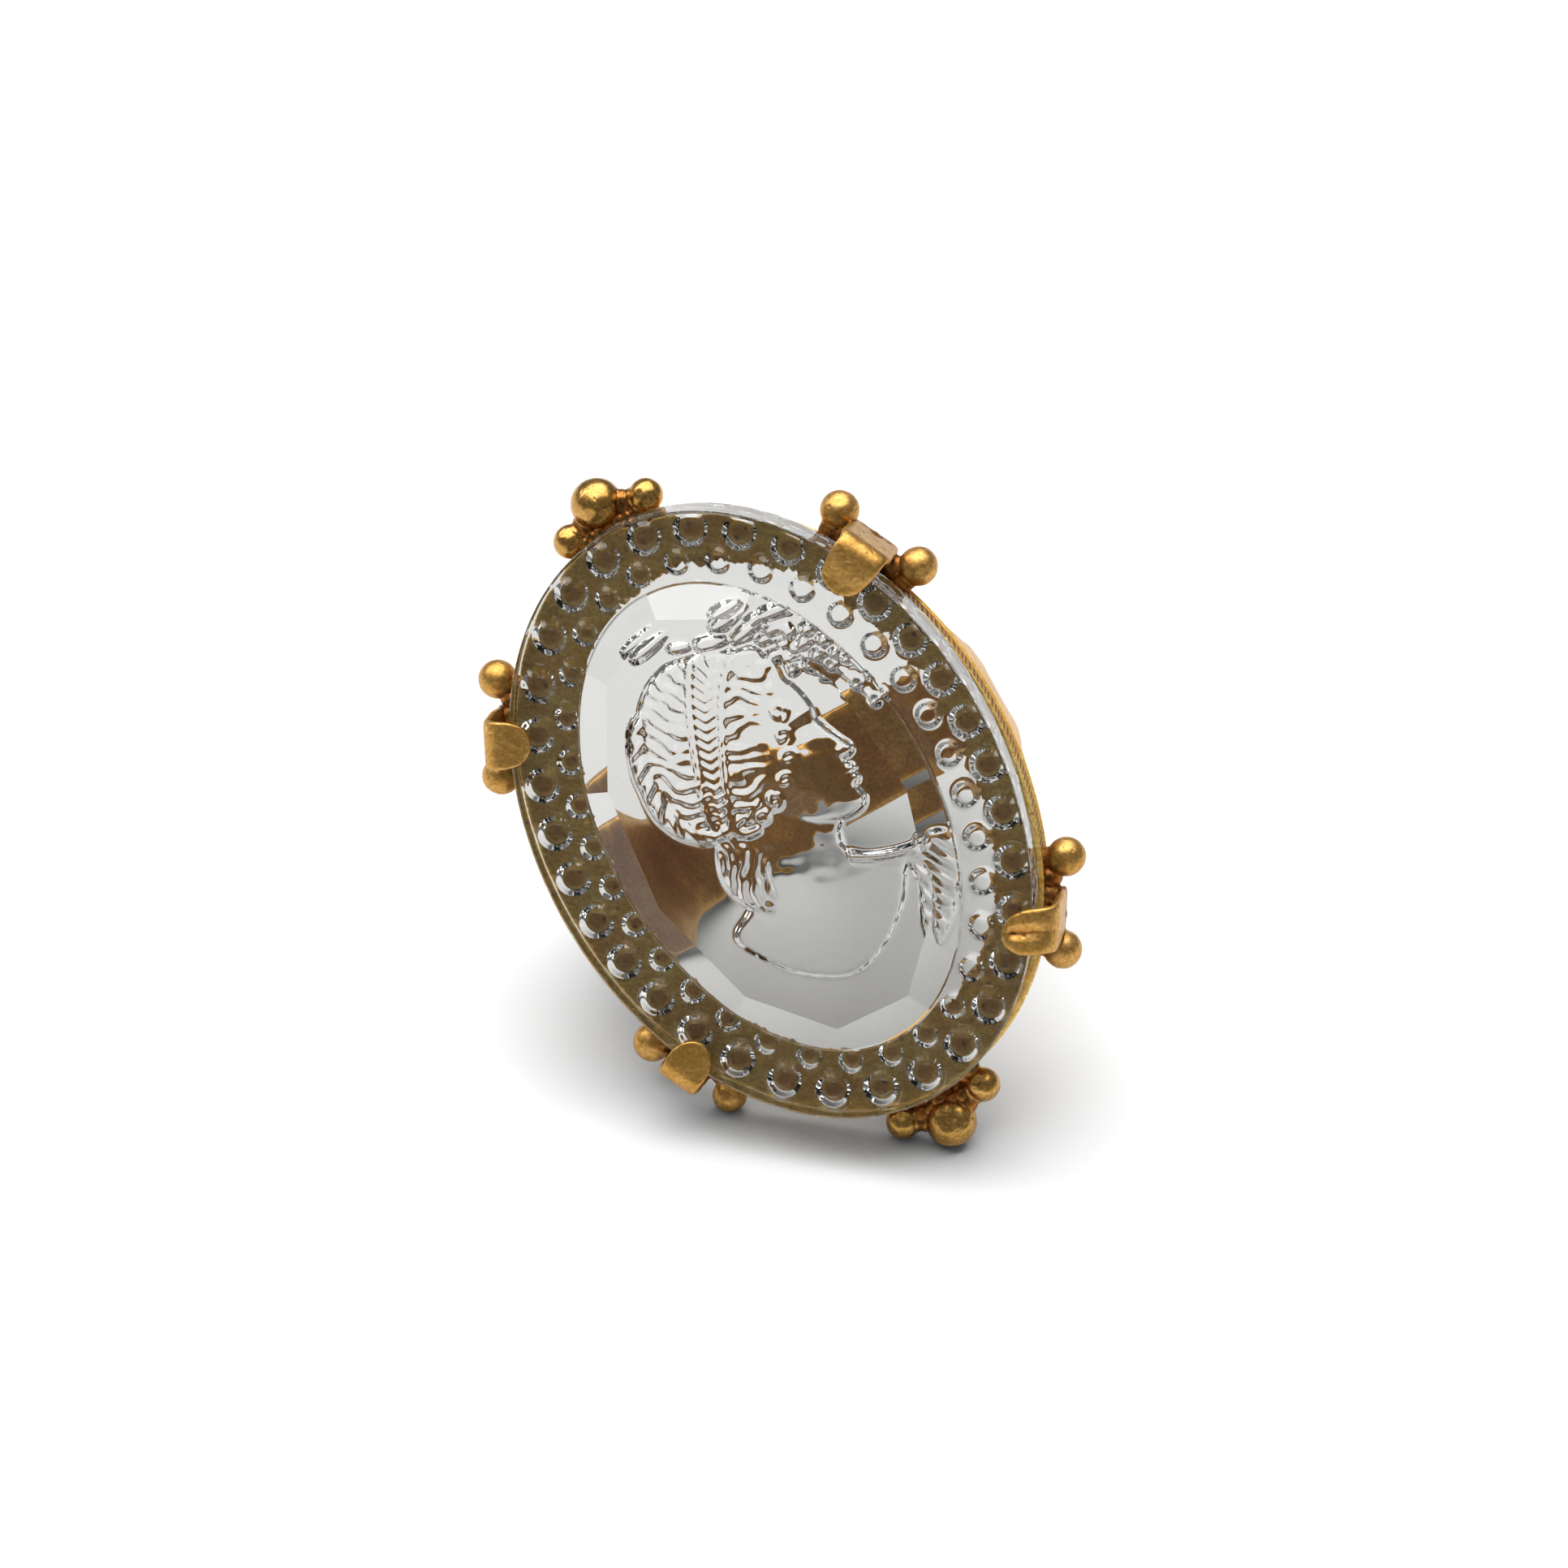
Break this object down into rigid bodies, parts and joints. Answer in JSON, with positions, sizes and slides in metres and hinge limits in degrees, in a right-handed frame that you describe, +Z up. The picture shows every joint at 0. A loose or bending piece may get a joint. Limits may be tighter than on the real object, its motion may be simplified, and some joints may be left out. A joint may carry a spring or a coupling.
{
  "type": "cameo ring",
  "caption": "Finger ring with a large oval clear glass intaglio of a classical bust, held by claws in an open-backed gold-coloured setting with soldered balls.",
  "frame": {"origin": "bottom centre of the bounding box of the ring as it lies at rest on a level surface", "axes": "+Z up; the face of the stone leans back and looks towards -Y and up; +X to the right of someone who faces the stone"},
  "size_m": [0.0292, 0.0262, 0.027],
  "materials": {
    "gold": "hand-worked satin gold plating with dark patina in the crevices",
    "clear_glass": "polished, faceted and pressed"
  },
  "bodies": {
    "root": {"setting": "gold", "stone": "clear_glass"}
  },
  "joints": []
}
